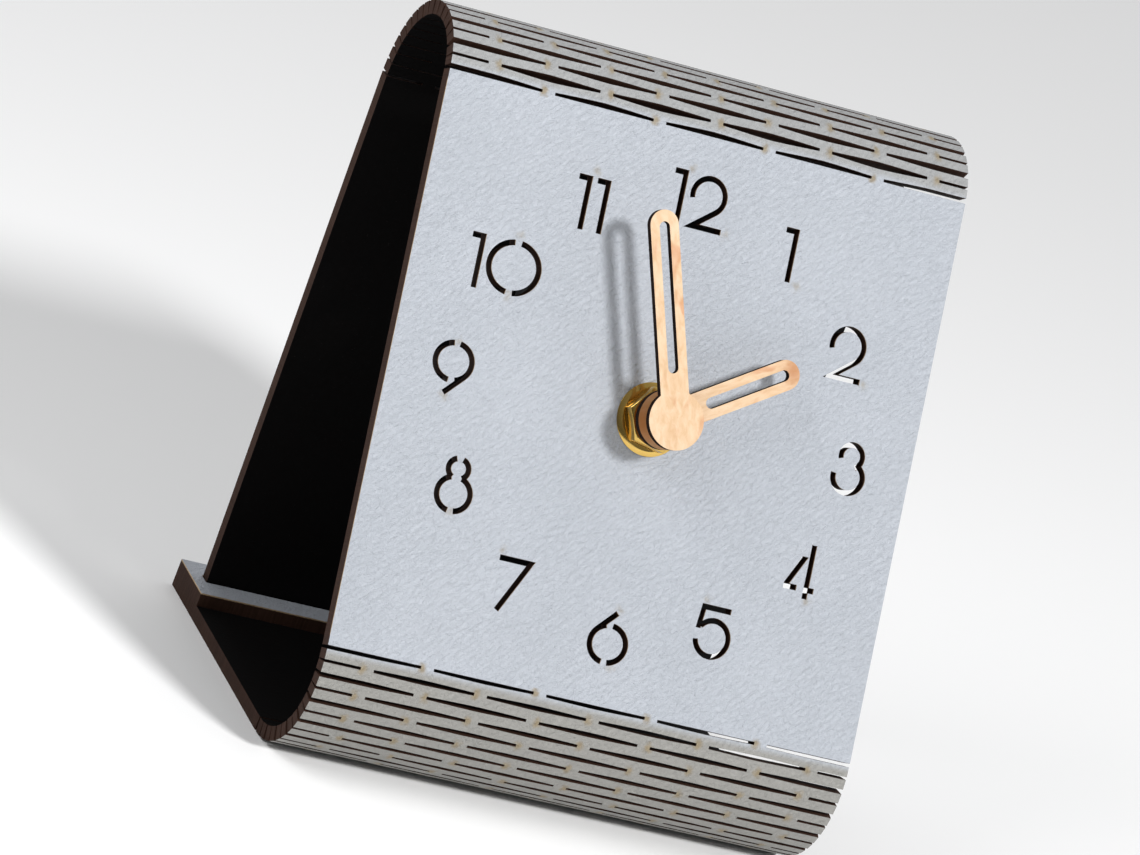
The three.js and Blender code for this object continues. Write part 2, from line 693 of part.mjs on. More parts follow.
part('dial_washer', tube(4.2, 8, GAP, GAP + 0.6, 24), brass, shaft);
part('dial_nut', hexagonNut(), brass, shaft);
part('threaded_bushing', turned([
  [2.7, -7.4], [6.3, -7.4], [6.3, -6.4], [3.85, -6.4], [3.85, 5.6], [2.7, 5.6], [2.7, -7.4],
]), brass, shaft);
part('rubber_gasket', tube(4.2, 11, -BOARD - GAP - 1, -BOARD - GAP, 20), rubber, shaft);
part('movement_front_case', frontCase(), blackPlastic, shaft);
part('movement_rear_case', rearCase(), blackPlastic, shaft);
part('gear_plate', gearPlate(), greyPlastic, shaft);
part('battery', battery(), batterySleeve, shaft);
part('contact_positive', contactPlate(1), steel, shaft);
part('contact_negative', contactPlate(-1), steel, shaft);
part('circuit_board', circuitBoard(), circuitGreen, shaft);
part('quartz_crystal', quartzCrystal(), steel, shaft);
part('motor_coil', motorCoil(), copper, shaft);
part('motor_stator', motorStator(), steel, shaft);
part('motor_rotor', rotor(), magnet, shaft);
part('intermediate_wheel', intermediateWheel(), greyPlastic, shaft);
part('seconds_wheel', secondsWheel(), greyPlastic, shaft);
part('third_wheel', thirdWheel(), greyPlastic, shaft);
part('minute_wheel', minuteWheel(), greyPlastic, shaft);
part('cannon_pinion', cannonPinion(), greyPlastic, shaft);
part('motion_wheel', motionWheel(), greyPlastic, shaft);
part('hour_wheel', hourWheel(), greyPlastic, shaft);
part('setting_knob', settingKnob(), greyPlastic, shaft);
part('hour_hand_bush', turned([
  [2.7, 5.75], [4.4, 5.75], [4.4, 6.25], [3.1, 6.25], [3.1, 8.0], [2.7, 8.0], [2.7, 5.75],
]), brass, shaft);
part('hour_hand', prism(handShape(HOUR_LENGTH, 3.35), HOUR_HAND_Z, HOUR_HAND_Z + HAND_BOARD, 10), handWood, shaft)
  .rotation.z = -hourAngle;
part('minute_hand_bush', turned([
  [0, 11.65], [4, 11.65], [4, 10.8], [2.4, 10.8], [2.4, 9.4], [1.8, 9.4], [1.8, 11.25], [0, 11.25],
].reverse()), brass, shaft);
part('minute_hand', prism(handShape(MINUTE_LENGTH, 0), MINUTE_HAND_Z, MINUTE_HAND_Z + HAND_BOARD, 10), handWood, shaft)
  .rotation.z = -minuteAngle;

export default clock;
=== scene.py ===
from math import asin, cos, hypot, pi, radians, sin, tan

import bpy
from mathutils import Matrix, Vector


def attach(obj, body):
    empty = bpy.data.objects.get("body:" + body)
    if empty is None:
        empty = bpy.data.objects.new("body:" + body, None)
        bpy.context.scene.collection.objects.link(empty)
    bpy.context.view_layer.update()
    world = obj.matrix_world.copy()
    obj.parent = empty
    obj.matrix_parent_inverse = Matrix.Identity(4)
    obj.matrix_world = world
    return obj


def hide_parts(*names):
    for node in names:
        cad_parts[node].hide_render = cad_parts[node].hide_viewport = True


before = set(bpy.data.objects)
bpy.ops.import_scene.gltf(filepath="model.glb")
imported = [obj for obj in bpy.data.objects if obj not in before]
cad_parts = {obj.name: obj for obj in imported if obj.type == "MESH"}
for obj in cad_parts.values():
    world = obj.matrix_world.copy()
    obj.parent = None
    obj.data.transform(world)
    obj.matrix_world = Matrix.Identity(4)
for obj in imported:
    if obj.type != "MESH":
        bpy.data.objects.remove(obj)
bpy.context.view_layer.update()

# The camera stands to the left of the clock and a little above it, far away
# behind a long lens. It is rolled, so the dial leans over in the picture.
camera_data = bpy.data.cameras.new("camera")
camera_data.lens = 241.503
camera_data.sensor_width = 36
camera_data.clip_end = 20
camera = bpy.data.objects.new("camera", camera_data)
camera.location = (-0.669784, -1.427719, 0.574641)
camera.rotation_euler = (radians(71.1068), radians(-20.6513), radians(-17.9781))
bpy.context.scene.collection.objects.link(camera)
bpy.context.scene.camera = camera

# The board is one laser-cut sheet of dense fibreboard, silver-grey film outside
# and black paint inside. Two bands of staggered slits turn the base up into the
# dial, and the dial over into the back panel. Sizes are in millimetres.
MM = 0.001
WIDTH = 125
DIAL = 125
BOARD = 3.2
LEAN = radians(24)
HOLE_R = 5.0
SHAFT_X = -0.6
BAR_DEPTH = 17.6
FOOT_INSET = 3.3
GAP = 0.25

# A band has one row of slits more than it has steps. Between the bridges, the
# slats' edges swing back and the slits open, in the top band most at the front.
PITCH = 3.05
BOTTOM_STEPS = 14
TOP_STEPS = 17
TOP_EASE = 1.2
PERIOD = 26.6
BRIDGE = 3.0
SLIT_SHIFT = 0.7
KERF = 0.65
BOTTOM_SWING = 0.215
TOP_SWING = 0.52
SWING_FALL = 3
LENS_STEPS = 6
LENS_POWER = 1.3

# How far a cutter runs on past a face, how near a point counts as on a fold,
# what keeps walls apart inside a bend, how square up a flat face looks, and how
# near two points are welded.
PAST = 1
THROUGH = -BOARD - PAST, PAST
ON_FOLD = 1e-4
BEND_SLACK = 0.02
FLAT_FACE = 0.9
WELD = 0.0005


def fold_turns(steps, total, ease):
    """The turn at each row of slits, tightest at the first where ease isn't 0."""
    weights = [1 + ease * (1 - i / steps) for i in range(steps + 1)]
    weights[0] /= 2
    weights[-1] /= 2
    return [total * weight / sum(weights) for weight in weights]


def side_profile():
    """The outer face's folds seen from the side: Y, Z, heading before, turn, place along the sheet."""
    folds = []
    y, z, heading, along = 0.0, 0.0, 0.0, 0.0
    turns = fold_turns(BOTTOM_STEPS, pi / 2 + LEAN, 0) + fold_turns(TOP_STEPS, pi - LEAN, TOP_EASE)
    lengths = [PITCH] * BOTTOM_STEPS + [DIAL] + [PITCH] * TOP_STEPS + [0]
    for turn, length in zip(turns, lengths):
        folds.append((y, z, heading, turn, along))
        heading += turn
        y -= cos(heading) * length
        z += sin(heading) * length
        along += length
    return folds


FOLDS = side_profile()
LAST_FOLD = len(FOLDS) - 1
ROW_PLACES = [fold[-1] for fold in FOLDS]
DIAL_LOW, DIAL_HIGH = ROW_PLACES[BOTTOM_STEPS:BOTTOM_STEPS + 2]
DIAL_MIDDLE = DIAL_LOW + DIAL / 2
BACK_Y, BACK_TOP_Z, _, _, PANEL_START = FOLDS[LAST_FOLD]
FOOT_END = PANEL_START + BACK_TOP_Z - BOARD - GAP
FRONT_Y = min(y for y, *_ in FOLDS)
BASE_END_Y = BACK_Y - BOARD / 2 + BAR_DEPTH / 2
MIDDLE_Y = (FRONT_Y + BASE_END_Y) / 2


def bent(x, along, depth):
    """Where a point of the flat sheet goes, depth measured in from its outer face."""
    y, z, heading, turn, place = min(FOLDS, key=lambda fold: abs(fold[-1] - along))
    if abs(place - along) < ON_FOLD:
        middle = heading + turn / 2
        reach = depth / cos(turn / 2)
        return Vector((x, y + sin(middle) * reach - MIDDLE_Y, z + cos(middle) * reach))
    if along > place:
        heading += turn
    setback = (tan(turn / 2) + BEND_SLACK) * depth
    run = max(along - place, setback) if along > place else min(along - place, -setback)
    return Vector((
        x,
        y - cos(heading) * run + sin(heading) * depth - MIDDLE_Y,
        z + sin(heading) * run + cos(heading) * depth,
    ))


def deselect():
    if bpy.context.object and bpy.context.object.mode != "OBJECT":
        bpy.ops.object.mode_set(mode="OBJECT")
    bpy.ops.object.select_all(action="DESELECT")


def only(piece):
    """Makes a piece the only one selected and the active one."""
    deselect()
    piece.select_set(True)
    bpy.context.view_layer.objects.active = piece
    return piece


def stamp(name, outline, low, high):
    """An upright prism on a closed outline, in millimetres."""
    deselect()
    bpy.ops.mesh.primitive_circle_add(vertices=len(outline), fill_type="NGON", calc_uvs=False)
    piece = bpy.context.object
    piece.name = name
    for vertex, (x, y) in zip(piece.data.vertices, outline):
        vertex.co = x, y, low
    bpy.ops.object.mode_set(mode="EDIT")
    bpy.ops.mesh.select_all(action="SELECT")
    bpy.ops.mesh.extrude_region_move(TRANSFORM_OT_translate={"value": (0, 0, high - low)})
    bpy.ops.mesh.select_all(action="SELECT")
    bpy.ops.mesh.normals_make_consistent(inside=False)
    bpy.ops.object.mode_set(mode="OBJECT")
    return piece


def moved_copy(piece, matrix):
    """A copy with its own mesh, put in its place inside that mesh."""
    twin = piece.copy()
    twin.data = piece.data.copy()
    twin.data.transform(matrix)
    bpy.context.scene.collection.objects.link(twin)
    return twin


def shift(x, y, z=0):
    return Matrix.Translation((x, y, z))


def join(pieces):
    only(pieces[0])
    for piece in pieces:
        piece.select_set(True)
    bpy.ops.object.join()
    return pieces[0]


def combine(piece, others, operation="DIFFERENCE"):
    """Cuts, joins or overlaps a piece with closed shapes, which are used up."""
    group = bpy.data.collections.new("shapes")
    bpy.context.scene.collection.children.link(group)
    for other in others:
        for home in list(other.users_collection):
            home.objects.unlink(other)
        group.objects.link(other)
    only(piece)
    step = piece.modifiers.new("combine", "BOOLEAN")
    step.operation = operation
    step.solver = "MANIFOLD"
    step.operand_type = "COLLECTION"
    step.collection = group
    bpy.ops.object.modifier_apply(modifier=step.name)
    for other in others:
        bpy.data.objects.remove(other)
    bpy.data.collections.remove(group)
    return piece


def lips(opening, before, after):
    """A slit's outline: its two edges have swung apart in step with the opening."""
    lower = [(x, -KERF / 2 - before * share) for x, share in opening]
    upper = [(x, KERF / 2 + after * share) for x, share in opening]
    return lower + upper[::-1]


def slit_row(before, after, runs_out):
    """One row of slits. They run out wide at the board's sides, or end in short narrow ones there."""
    half = (PERIOD - BRIDGE) / 2
    middles = [-1, 0, 1] if runs_out else [-1.5, -0.5, 0.5, 1.5]
    steps = range(-LENS_STEPS, LENS_STEPS + 1)
    opening = [(half * i / LENS_STEPS, 1 - abs(i / LENS_STEPS) ** LENS_POWER) for i in steps]
    lens = stamp("lens", lips(opening, before, after), *THROUGH)
    bridge = (middles[0] - 0.5) * PERIOD - BRIDGE / 2
    side = -WIDTH / 2 - 2 * PAST
    if runs_out:
        steps = range(LENS_STEPS, -1, -1)
        opening = [(bridge - half * i / LENS_STEPS, 1 - (1 - i / LENS_STEPS) ** LENS_POWER) for i in steps]
        opening.insert(0, (side, 1))
    else:
        opening = [(side, 0), (bridge, 0)]
    left = stamp("left_slit", lips(opening, before, after), *THROUGH)
    right = stamp("right_slit", lips(opening, after, before), *THROUGH)
    right.data.transform(Matrix.Rotation(pi, 4, "Z"))
    row = join([left, right] + [moved_copy(lens, shift(middle * PERIOD, 0)) for middle in middles])
    bpy.data.objects.remove(lens)
    return row


def swing(slat):
    """How far a slat's edges swing back: not at all for the base, the dial and the back panel."""
    base, dial, back_panel = -1, BOTTOM_STEPS, LAST_FOLD
    if slat in (base, dial, back_panel):
        return 0
    if slat < dial:
        return BOTTOM_SWING
    return TOP_SWING * ((back_panel - slat) / TOP_STEPS) ** SWING_FALL


def slit_cutters():
    """All rows of slits. In each band the row at the dial runs out at the sides, and so does every other."""
    rows, models = [], {}
    for index, along in enumerate(ROW_PLACES):
        from_dial = index - BOTTOM_STEPS - (index > BOTTOM_STEPS)
        kind = swing(index - 1), swing(index), from_dial % 2 == 0
        if kind not in models:
            models[kind] = slit_row(*kind)
        rows.append(moved_copy(models[kind], shift(SLIT_SHIFT, along)))
    for model in models.values():
        bpy.data.objects.remove(model)
    return rows


# The numerals are strokes of one width, cut right through. Bridges hold the
# middles of the closed ones. Each digit is 12 mm high, about its own middle.
STROKE = 1.25
TOP = 6.0
UNDER = TOP - STROKE
RING = 48.0


def arc(x, y, radius, start, end, step=7):
    """Points round an arc, at most a step of degrees apart. A whole circle stops short of its start."""
    count = int((end - start) / step) + 1
    angles = [radians(start + (end - start) * i / count) for i in range(count + 1)]
    return [(x + radius * cos(angle), y + radius * sin(angle)) for angle in angles]


def bow(x, y, radius, start, end, widen=1.0):
    """A curved stroke."""
    ring = arc(0, 0, radius + STROKE / 2, start, end) + arc(0, 0, radius - STROKE / 2, start, end)[::-1]
    return [(x + across * widen, y + up) for across, up in ring]


def line(x1, y1, x2, y2):
    """A straight stroke."""
    across = Vector((y2 - y1, x1 - x2)) * (STROKE / 2 / hypot(x2 - x1, y2 - y1))
    ends = [(x1, y1, 1), (x2, y2, 1), (x2, y2, -1), (x1, y1, -1)]
    return [(x + side * across.x, y + side * across.y) for x, y, side in ends]


def block(left, bottom, right, top):
    return [(left, bottom), (right, bottom), (right, top), (left, top)]


SIX = [
    bow(0.4, -0.82, 4.0, -82, 84, 1.06), bow(0.4, -0.82, 4.0, 104, 260, 1.06),
    line(-2.65, 2.0, 1.35, 6.05),
]
DIGITS = {
    "0": [bow(0, 0.4, 5.4, -83, 83, 1.08), bow(0, 0.4, 5.4, 98, 262, 1.08)],
    "1": [[(-1.6, TOP), (-1.6, UNDER), (0.35, UNDER), (0.35, -5.7), (1.6, -5.7), (1.6, TOP)]],
    "2": [
        bow(0.1, 1.55, 3.85, -52.2, 195),
        line(2.46, -1.49, -2.45, -5.3),
        [(-4.41, -TOP), (4.5, -TOP), (4.5, -UNDER), (-2.75, -UNDER)],
    ],
    "3": [bow(0.05, 2.6, 2.58, -62, 198), bow(0.05, -2.0, 3.35, 172, 428, 1.06)],
    "4": [
        block(1.5, -5.8, 1.5 + STROKE, TOP),
        [(-0.2, 3.2), (-3.4, -3.15), (-3.4, -4.4), (-0.2, -4.4), (-0.2, -3.15), (-2.0, -3.15), (1.3, 3.2)],
        block(1.7, -4.4, 4.0, -3.15),
    ],
    "5": [
        block(-3.6, UNDER, 3.45, TOP),
        [(-3.6, TOP), (-4.15, 0.6), (-2.95, 0.6), (-2.35, TOP)],
        bow(0.15, -1.1, 3.88, 190, 505),
    ],
    "6": SIX,
    "7": [[(-4.2, 6.2), (-4.2, 4.95), (3.5, 4.95), (4.25, 6.2)], line(3.1, 5.4, -2.6, -5.5)],
    "8": [
        bow(-0.1, 4.15, 2.2, -60, 72, 1.06), bow(-0.1, -1.25, 3.68, -80, 72, 1.05),
        bow(-0.1, 4.15, 2.2, 108, 240, 1.06), bow(-0.1, -1.25, 3.68, 108, 260, 1.05),
    ],
    "9": [[(0.55 - x, 1.2 - y) for x, y in outline] for outline in SIX],
}

# Each digit with its hour, and how far to the right it stands
NUMERALS = [
    (1, "1", -0.6), (2, "2", 0.15), (3, "3", 0), (4, "4", 0), (5, "5", 0), (6, "6", 0), (7, "7", 0),
    (8, "8", 0), (9, "9", 0), (10, "1", -6.4), (10, "0", 2.8), (11, "1", -2.7), (11, "1", 1.7),
    (12, "1", -5.05), (12, "2", 2.15),
]


def on_ring(hour, sideways, x, y):
    """A point of a digit on the flat sheet."""
    angle = radians(30 * hour)
    return sideways + RING * sin(angle) + x, DIAL_MIDDLE + RING * cos(angle) + y


def numeral_cutters():
    strokes = []
    for hour, digit, sideways in NUMERALS:
        for outline in DIGITS[digit]:
            placed = [on_ring(hour, sideways, x, y) for x, y in outline]
            strokes.append(stamp("stroke", placed, *THROUGH))
    return strokes


def mark_faces(piece, origin=(0, 0)):
    """Numbers the faces as outer face, inner face and cut wall, and keeps their flat places as a UV map."""
    flat = piece.data.uv_layers.new(name="flat")
    wall = piece.data.uv_layers.new(name="wall")
    top = max(vertex.co.z for vertex in piece.data.vertices)
    for polygon in piece.data.polygons:
        up = polygon.normal.z
        polygon.material_index = 0 if up > FLAT_FACE else 1 if up < -FLAT_FACE else 2
        for loop in polygon.loop_indices:
            place = piece.data.vertices[piece.data.loops[loop].vertex_index].co
            flat.data[loop].uv = (origin[0] + place.x) * MM, (origin[1] + place.y) * MM
            wall.data[loop].uv = (top - place.z) * MM, 0


def flat_board():
    """The cut sheet. The back panel tapers on the left and has a shoulder above the bar on the right."""
    side = WIDTH / 2
    foot = side - FOOT_INSET
    shoulder = FOOT_END - BOARD
    board = stamp("slit_board", [
        (-side, -BASE_END_Y), (side, -BASE_END_Y), (side, shoulder), (foot, shoulder), (foot, FOOT_END),
        (-foot, FOOT_END), (-side, PANEL_START),
    ], -BOARD, 0)
    hole = stamp("hole", arc(0, DIAL_MIDDLE, HOLE_R, 0, 354), *THROUGH)
    combine(board, slit_cutters() + numeral_cutters() + [hole])
    only(board)
    bpy.ops.object.mode_set(mode="EDIT")
    for along in ROW_PLACES:
        bpy.ops.mesh.select_all(action="SELECT")
        bpy.ops.mesh.bisect(plane_co=(0, along, 0), plane_no=(0, 1, 0))
    bpy.ops.object.mode_set(mode="OBJECT")
    return board


class Socket:
    """An output in a material's nodes. Arithmetic on it adds the Math nodes that work it out."""

    def __init__(self, tree, output=None):
        self.tree = tree
        self.output = output

    def node(self, kind, settings=None, values=None, output=0):
        """Adds a node: its settings first, then the values or links of its inputs."""
        made = self.tree.nodes.new("ShaderNode" + kind)
        for key, value in (settings or {}).items():
            setattr(made, key, value)
        for key, value in (values or {}).items():
            if isinstance(value, Socket):
                self.tree.links.new(value.output, made.inputs[key])
            else:
                made.inputs[key].default_value = value
        return Socket(self.tree, made.outputs[output] if made.outputs else None)

    def math(self, operation, *others):
        return self.node("Math", {"operation": operation}, dict(enumerate((self, *others))))

    def __add__(self, other):
        return self.math("ADD", other)

    def __sub__(self, other):
        return self.math("SUBTRACT", other)

    def __mul__(self, other):
        return self.math("MULTIPLY", other)

    def __truediv__(self, other):
        return self.math("DIVIDE", other)

    def noise(self, scale, detail=2.0, roughness=0.5, distortion=0.0):
        values = {"Scale": scale, "Detail": detail, "Roughness": roughness, "Distortion": distortion}
        return self.node("TexNoise", {}, {"Vector": self, **values})

    def spread(self, low, high, first=0.0, last=1.0):
        """Goes smoothly from first to last as this value goes from low to high."""
        values = {0: self, 1: low, 2: high, 3: first, 4: last}
        return self.node("MapRange", {"interpolation_type": "SMOOTHSTEP"}, values)

    def blend(self, first, second):
        """The first colour where this value is 0, and the second where it is 1."""
        return self.node("Mix", {"data_type": "RGBA"}, {0: self, 6: first, 7: second}, 2)

    def part(self, axis):
        return self.node("SeparateXYZ", {}, {0: self}, axis)

    def off(self, point):
        """How far this place is from a point."""
        return self.node("VectorMath", {"operation": "DISTANCE"}, {0: self, 1: point}, "Value")

    def stretched(self, x, y, z):
        return self.node("Mapping", {}, {"Vector": self, "Scale": (x, y, z)})


def finish(name):
    """A new material, with the place on the piece, in metres, to build its pattern from."""
    material = bpy.data.materials.new(name)
    material.use_nodes = True
    material.node_tree.nodes.clear()
    return material, Socket(material.node_tree).node("TexCoord", output="Object")


def shade(place, values, height=None, depth=0.0001):
    """Ends a material with its shader's values, and a relief of that depth in metres."""
    if height is not None:
        values = {**values, "Normal": place.node("Bump", {}, {"Distance": depth, "Height": height})}
    shader = place.node("BsdfPrincipled", {}, values)
    place.node("OutputMaterial", {}, {"Surface": shader})


# Tan marks where the laser set in: hour, then the place about its middle.
SCORCHED = [
    (1, 2.9, -6.1), (2, 5.5, -5.7), (4, 2.8, -6.2), (5, -2.8, 6.9), (6, 1.8, 6.7), (6, 2.0, -5.4),
    (7, -3.7, 7.1), (8, -0.1, -5.1), (9, 0.2, 6.3), (9, -0.5, -5.6), (10, 2.9, 7.3), (10, 2.8, -5.7),
    (11, -0.6, 7.1), (12, -2.8, 6.5), (12, 7.8, -5.6),
]


def slit_scorch(flat, start, steps, ragged):
    """Scorch beside one end of each bridge in a band of slits, left or right from row to row."""
    middle = steps * PITCH / 2
    along = flat.part(1) / MM - start
    row = (along / PITCH).math("ROUND")
    off_row = along - row * PITCH
    side = ((row + start).math("SINE") * 43.7).math("FRACT").math("GREATER_THAN", 0.5) * 2 - 1
    offset = (row + 1).math("FLOORED_MODULO", 2) * (PERIOD / 2) - side * (BRIDGE / 2 - 0.4)
    shifted = flat.part(0) / MM - SLIT_SHIFT + offset
    across = shifted - (shifted / PERIOD).math("ROUND") * PERIOD
    reach = (off_row * off_row * 0.7 + across * across).math("SQRT") + ragged
    in_band = along.math("COMPARE", middle, middle + 1.2)
    return reach.spread(0.1, 1.5, 0.85, 0) * in_band


def silver_film():
    material, place = finish("silver_film")
    flat = place.node("UVMap", {"uv_map": "flat"})
    ragged = place.noise(900) * 1.6 - 0.8
    along = flat.part(1) / MM
    stain = slit_scorch(flat, 0, BOTTOM_STEPS, ragged)
    stain = stain.math("MAXIMUM", slit_scorch(flat, DIAL_HIGH, TOP_STEPS - 2, ragged))
    for hour, x, y in SCORCHED:
        x, y = on_ring(hour, 0, x, y)
        reach = flat.off((x * MM, y * MM, 0)) / MM + ragged * 1.8
        stain = stain.math("MAXIMUM", reach.spread(-0.6, 1.7, 0.5, 0))
    # Painted shade: the film darkens from the bottom bend down over the base, and from the top bend back
    # over the back panel, which face away from the light.
    bend_shade = along.spread(DIAL_LOW - 2, DIAL_LOW, 0.95, 0) + along.spread(DIAL_HIGH, DIAL_HIGH + 2, 0, 0.65)
    base = place.noise(45, 3).blend((0.38, 0.405, 0.445, 1), (0.445, 0.47, 0.515, 1))
    base = bend_shade.blend(base, (0.285, 0.277, 0.255, 1))
    colour = stain.blend(base, (0.26, 0.2, 0.11, 1))
    slanted = {"Vector": flat, "Rotation": (0, 0, radians(45)), "Scale": (1, 0.45, 1)}
    slanted = flat.node("Mapping", {"vector_type": "TEXTURE"}, slanted)
    grain = slanted.noise(520, 4, 0.65, 0.6) + place.noise(1500, 2) * 0.5
    roughness = place.noise(700).spread(0.3, 0.7, 0.4, 0.52)
    shade(place, {"Base Color": colour, "Roughness": roughness, "Specular IOR Level": 0.45}, grain, 0.00065)
    return material


def black_paint():
    material, place = finish("black_paint")
    dust = place.noise(2600).spread(0.68, 0.8)
    colour = dust.blend((0.002, 0.0016, 0.0016, 1), (0.016, 0.015, 0.014, 1))
    values = {"Base Color": colour, "Roughness": 0.7, "Specular IOR Level": 0.1}
    shade(place, values, place.noise(900, 3), 0.00006)
    return material


def charred_edge():
    """The cut goes from cream at the film to brown char; the cream band is partly painted highlight, the lit
    top of the wall. Inside the narrow slits it is all char.
    """
    material, place = finish("charred_edge")
    flat = place.node("UVMap", {"uv_map": "flat"})
    depth = place.node("UVMap", {"uv_map": "wall"}).part(0) / MM
    streak = flat.noise(2300)
    char = (streak * 0.6 + place.noise(260, 3) * 0.4).blend((0.01, 0.005, 0.003, 1), (0.07, 0.033, 0.022, 1))
    on_dial = (flat.part(1) / MM - DIAL_MIDDLE).math("ABSOLUTE").spread(DIAL / 2 - 3, DIAL / 2 - 2, 1, 0)
    # Painted highlight: the cream band at the top of the walls on the dial is partly the pale edge under the
    # film and partly the light caught by the top edge.
    rim = (depth + streak * 0.2 - 0.1).spread(0.12, 0.42, 1, 0) * on_dial
    colour = rim.blend(char, (0.5, 0.36, 0.22, 1))
    shade(place, {"Base Color": colour, "Roughness": 0.72, "Specular IOR Level": 0.12}, streak, 0.00006)
    return material


def install(piece, body, node, finishes):
    """Gives a piece its finishes, the body that it moves with and the node that it stands for."""
    piece.name = node + "_made"
    numbers = [polygon.material_index for polygon in piece.data.polygons]
    piece.data.materials.clear()
    for material in finishes:
        piece.data.materials.append(material)
    piece.data.polygons.foreach_set("material_index", numbers)
    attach(piece, body)
    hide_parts(node)


board_finishes = [silver_film(), black_paint(), charred_edge()]
board = flat_board()
mark_faces(board)
for vertex in board.data.vertices:
    vertex.co = bent(vertex.co.x, vertex.co.y, -vertex.co.z) * MM
install(board, "housing", "bent_sheet", board_finishes)

# The rear bar is a second strip of the same board, glued on the end of the
# base. The foot of the back panel stands in its long slot. It takes its finish
# from beside the dial, where the pattern has no stains and no painted shade.
SLACK = 0.3
BAR_FINISH_AT = 200, DIAL_MIDDLE - 38
bar_end = BASE_END_Y - MIDDLE_Y
slot_half = WIDTH / 2 - FOOT_INSET + SLACK
slot_end = BACK_Y + SLACK - MIDDLE_Y
bar = stamp("bar", block(-WIDTH / 2, bar_end - BAR_DEPTH, WIDTH / 2, bar_end), BOARD, 2 * BOARD)
slot = block(-slot_half, slot_end - BOARD - 2 * SLACK, slot_half, slot_end)
combine(bar, [stamp("slot", slot, 0, 3 * BOARD)])
mark_faces(bar, BAR_FINISH_AT)
bar.data.transform(Matrix.Scale(MM, 4))
install(bar, "housing", "rear_bar", board_finishes)

# The movement's case is two black moulded halves behind the dial. The rear one
# is open over the battery bay, and has a raised rim round the setting shaft.
# From here on, heights are over the dial's face, and places are from the shaft.
CASE_HALF = 28.0
CASE_WALL = 1.3
CASE_CORNER = 3.0
CASE_ROUNDING = 0.5
CASE_FRONT = -4.7
CASE_SPLIT = -14.3
CASE_BACK = -20.7
BAY_TOP = -9.9
BAY_FRONT = CASE_FRONT - 0.5
BUSHING_HOLE_R = 4.1
KNOB_HOLE_R = 1.4
LIP_INSET = 0.5
RIB = 0.8
RIBS_LOW = 16
RIBS_HIGH = 24
RELIEF_TOP = CASE_BACK - 0.35
RELIEF_ROOT = CASE_BACK + 0.5

# Posts reach back to the gear plate, a pin carries the motion wheel, and cups
# inside the rear wall take the other pivots.
POST_R = 1.4
POST_END = CASE_SPLIT + 0.45
POSTS_AT = [(-24, 24), (24, 24), (-24, -7.6), (24, -7.6)]
PIN_R = 0.45
PIN_END = -12.5
CUP_R = 1.3
CUP_BORE_R = 0.65
CUP_END = -18.6
CUP_FLOOR = CASE_BACK + 1.5
CUP_ROOT = CASE_BACK + 1.2

INSIDE = CASE_HALF - CASE_WALL
DIAL_FRAME = Matrix.Translation(bent(SHAFT_X, DIAL_MIDDLE, 0)) @ Matrix.Rotation(pi / 2 - LEAN, 4, "X")


def polar(radius, degrees, about=(0, 0)):
    return about[0] + radius * cos(radians(degrees)), about[1] + radius * sin(radians(degrees))


# Where the axes of the works stand
SHAFT_AT = (0, 0)
THIRD_AT = polar(9.0, 150)
MIDDLE_AT = polar(8.25, 40)
ROTOR_AT = polar(7.48, 10, MIDDLE_AT)
MOTION_AT = polar(7.2, 30)
KNOB_AT = polar(8.1, -50, MOTION_AT)


def on_dial(piece, clockwise=0.0):
    """Moves a piece modelled about the shaft, Z out of the dial, to its place on the clock."""
    piece.data.transform(Matrix.Scale(MM, 4) @ DIAL_FRAME @ Matrix.Rotation(-clockwise, 4, "Z"))
    only(piece)
    bpy.ops.object.shade_smooth_by_angle(angle=radians(32))
    return piece


def rounded_block(half_x, low_y, high_y, radius):
    corners = [(half_x, high_y, 0), (-half_x, high_y, 90), (-half_x, low_y, 180), (half_x, low_y, 270)]
    outline = []
    for x, y, start in corners:
        middle = x - radius if x > 0 else x + radius, y - radius if y > 0 else y + radius
        outline += arc(*middle, radius, start, start + 90, 10)
    return outline


def soften(piece, width, segments=3, angle=40):
    """Rounds every edge sharper than the angle."""
    only(piece)
    step = piece.modifiers.new("soften", "BEVEL")
    step.width = width
    step.segments = segments
    step.limit_method = "ANGLE"
    step.angle_limit = radians(angle)
    bpy.ops.object.modifier_apply(modifier=step.name)
    return piece


def turned(name, profile, steps=64, at=(0, 0)):
    """A closed outline of radius and height, spun about an upright axis."""
    deselect()
    bpy.ops.mesh.primitive_circle_add(vertices=len(profile), fill_type="NOTHING", calc_uvs=False)
    piece = bpy.context.object
    piece.name = name
    for vertex, (radius, height) in zip(piece.data.vertices, profile):
        vertex.co = at[0] + radius, at[1], height
    bpy.ops.object.mode_set(mode="EDIT")
    bpy.ops.mesh.select_all(action="SELECT")
    bpy.ops.mesh.spin(steps=steps, angle=2 * pi, center=(*at, 0), axis=(0, 0, 1))
    bpy.ops.mesh.select_all(action="SELECT")
    bpy.ops.mesh.remove_doubles(threshold=WELD)
    bpy.ops.mesh.delete_loose()
    bpy.ops.mesh.select_all(action="SELECT")
    bpy.ops.mesh.normals_make_consistent(inside=False)
    bpy.ops.object.mode_set(mode="OBJECT")
    return piece


def disc(radius, low, high, at=(0, 0), steps=32):
    return turned("disc", [(0, low), (radius, low), (radius, high), (0, high)], steps, at)


def moulded(name, dark, light, grain=1600, roughness=(0.42, 0.56)):
    """Moulded plastic with a fine spark-eroded grain."""
    material, place = finish(name)
    colour = place.noise(120, 3).blend(dark, light)
    rough = place.noise(900).spread(0.3, 0.7, *roughness)
    shade(place, {"Base Color": colour, "Roughness": rough}, place.noise(grain, 3), 0.00003)
    return material


